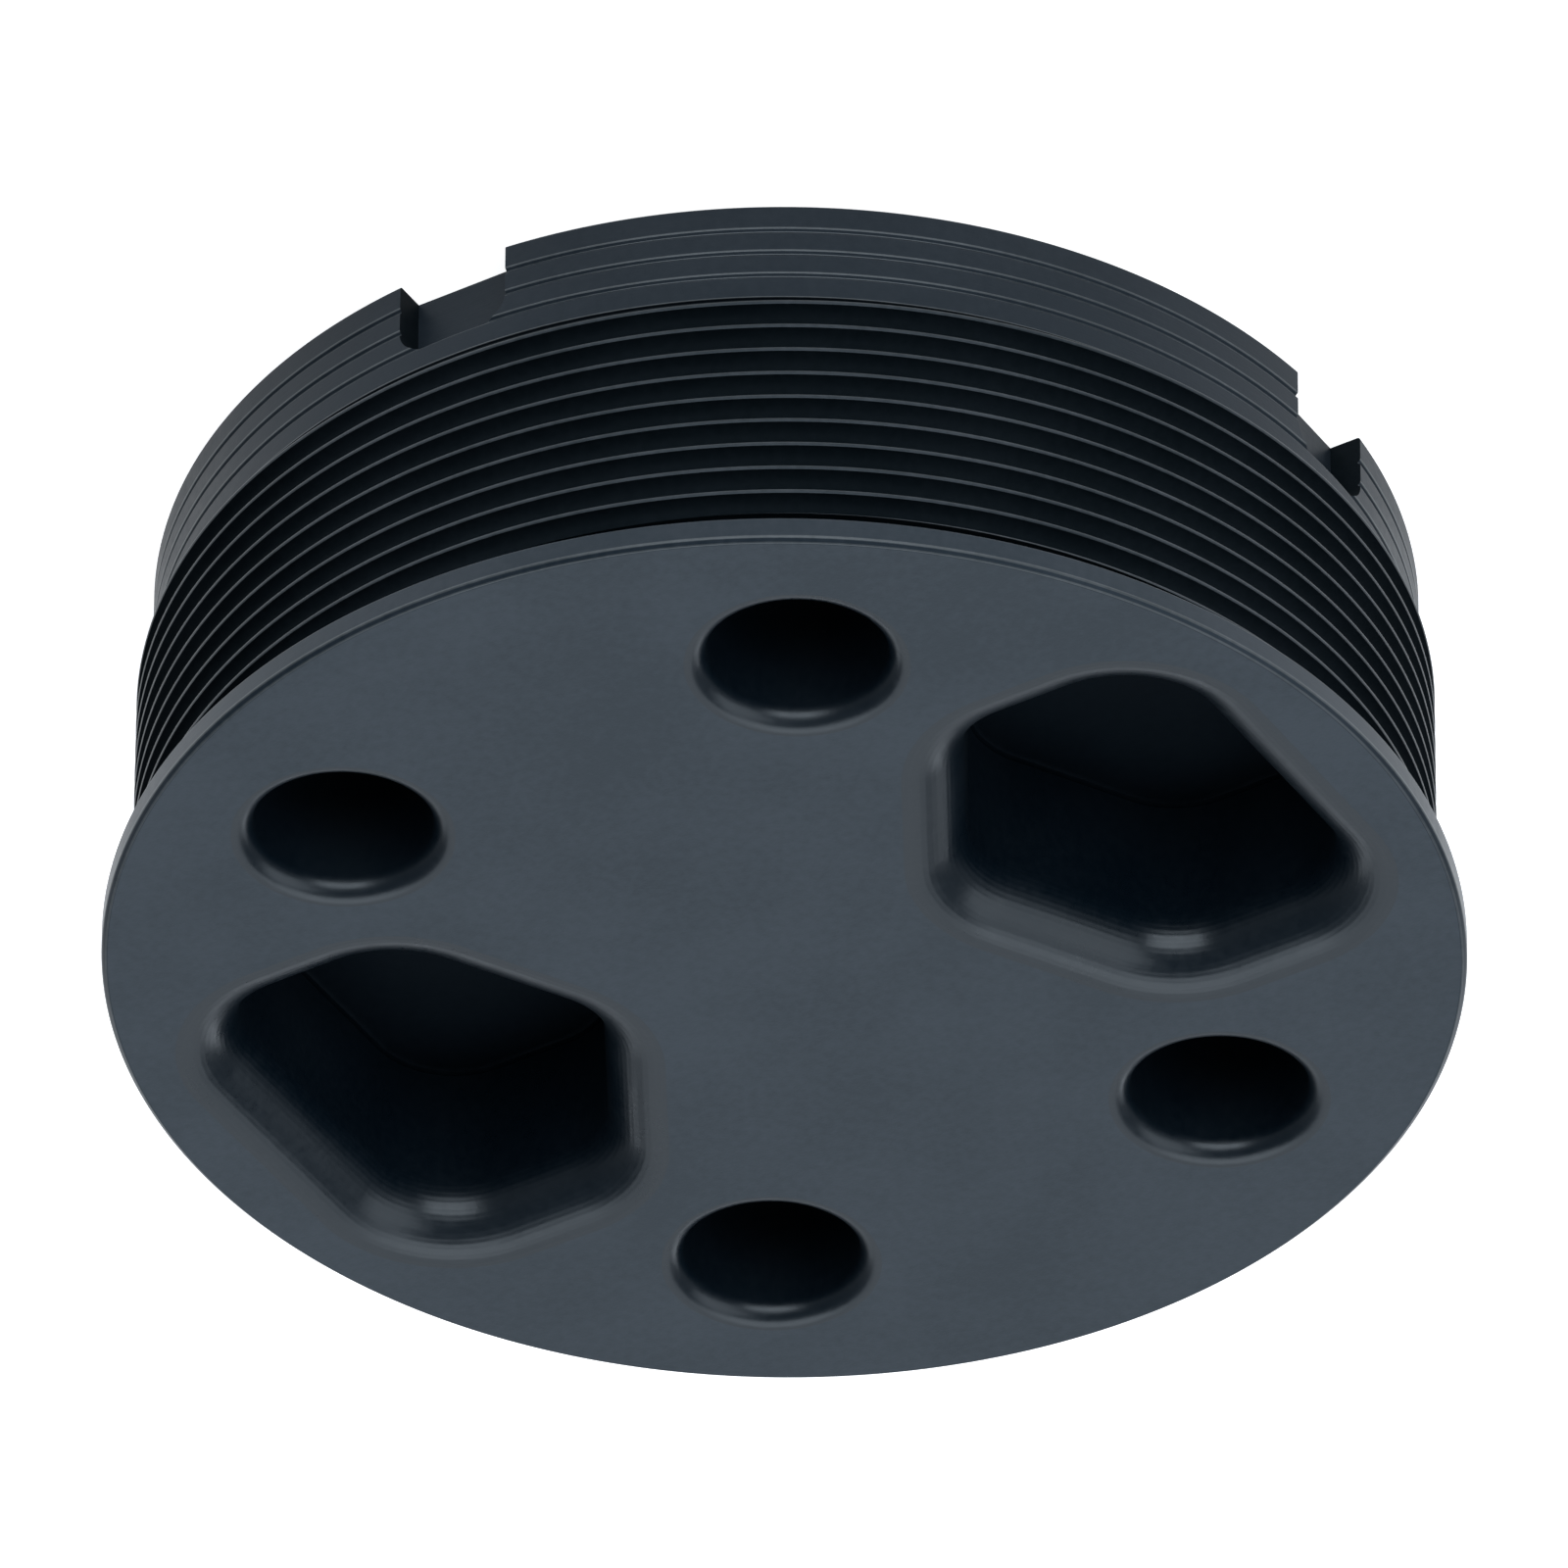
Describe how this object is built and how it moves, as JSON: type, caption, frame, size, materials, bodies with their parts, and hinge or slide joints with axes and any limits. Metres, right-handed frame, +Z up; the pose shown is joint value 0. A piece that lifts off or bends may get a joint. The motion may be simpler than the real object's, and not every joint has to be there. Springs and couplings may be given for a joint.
{
  "type": "ratchet winch",
  "caption": "Low ratchet winch with a grooved drum that turns one way between a fixed flanged core and a base plate, bolted down through the core.",
  "frame": {"origin": "centre of the base plate's underside, on the drum's axis", "axes": "+Z up along the drum's axis; +X through the middle of one pocket; the bolt bores lie either side of the Y axis"},
  "size_m": [0.1, 0.1, 0.0338],
  "materials": {
    "core_anodised": "satin black hard anodising over fine milled face",
    "base_anodised": "satin black hard anodising over fine turning marks",
    "drum_anodised": "black hard anodising, rubbed grey on the crests of the grooves",
    "roller_steel": "ground stainless steel",
    "pin_steel": "ground stainless steel",
    "screw_steel": "machined stainless steel",
    "spring_steel": "rolled spring steel",
    "cage_acetal": "moulded black acetal",
    "bearing_acetal": "machined black acetal",
    "pawl_bronze": "machined aluminium bronze"
  },
  "bodies": {
    "fixed_frame": {"core": "core_anodised", "base_plate": "base_anodised", "bearing_sleeve": "bearing_acetal", "upper_thrust_washer": "bearing_acetal", "lower_thrust_washer": "bearing_acetal", "pawl_pin_a": "pin_steel", "pawl_pin_b": "pin_steel", "pawl_spring_a": "spring_steel", "pawl_spring_b": "spring_steel", "base_screw_1": "screw_steel", "base_screw_2": "screw_steel", "base_screw_3": "screw_steel", "base_screw_4": "screw_steel"},
    "drum": {"drum": "drum_anodised"},
    "cage": {"roller_cage": "cage_acetal", "roller_01": "roller_steel", "roller_02": "roller_steel", "roller_03": "roller_steel", "roller_04": "roller_steel", "roller_05": "roller_steel", "roller_06": "roller_steel", "roller_07": "roller_steel", "roller_08": "roller_steel", "roller_09": "roller_steel", "roller_10": "roller_steel", "roller_11": "roller_steel", "roller_12": "roller_steel", "roller_13": "roller_steel", "roller_14": "roller_steel", "roller_15": "roller_steel", "roller_16": "roller_steel", "roller_17": "roller_steel", "roller_18": "roller_steel"},
    "pawl_a": {"pawl_a": "pawl_bronze"},
    "pawl_b": {"pawl_b": "pawl_bronze"}
  },
  "joints": [
    {"name": "drum_spin", "type": "hinge", "parent": "fixed_frame", "child": "drum", "pos_m": [0, 0, 0.02], "axis": [0, 0, 1], "continuous": true},
    {"name": "cage_spin", "type": "hinge", "parent": "fixed_frame", "child": "cage", "pos_m": [0, 0, 0.0115], "axis": [0, 0, 1], "continuous": true},
    {"name": "pawl_a_swing", "type": "hinge", "parent": "fixed_frame", "child": "pawl_a", "pos_m": [0.0349, 0.01554, 0.0149], "axis": [0, 0, 1], "range_deg": [-8, 0], "stiffness_Nm_per_rad": 0.02, "springref_deg": 20.05, "deforming": ["pawl_spring_a"]},
    {"name": "pawl_b_swing", "type": "hinge", "parent": "fixed_frame", "child": "pawl_b", "pos_m": [-0.0349, -0.01554, 0.0149], "axis": [0, 0, 1], "range_deg": [-8, 0], "stiffness_Nm_per_rad": 0.02, "springref_deg": 20.05, "deforming": ["pawl_spring_b"]}
  ],
  "couplings": [
    {"joint": "cage_spin", "follows": "drum_spin", "ratio": 0.5189}
  ]
}
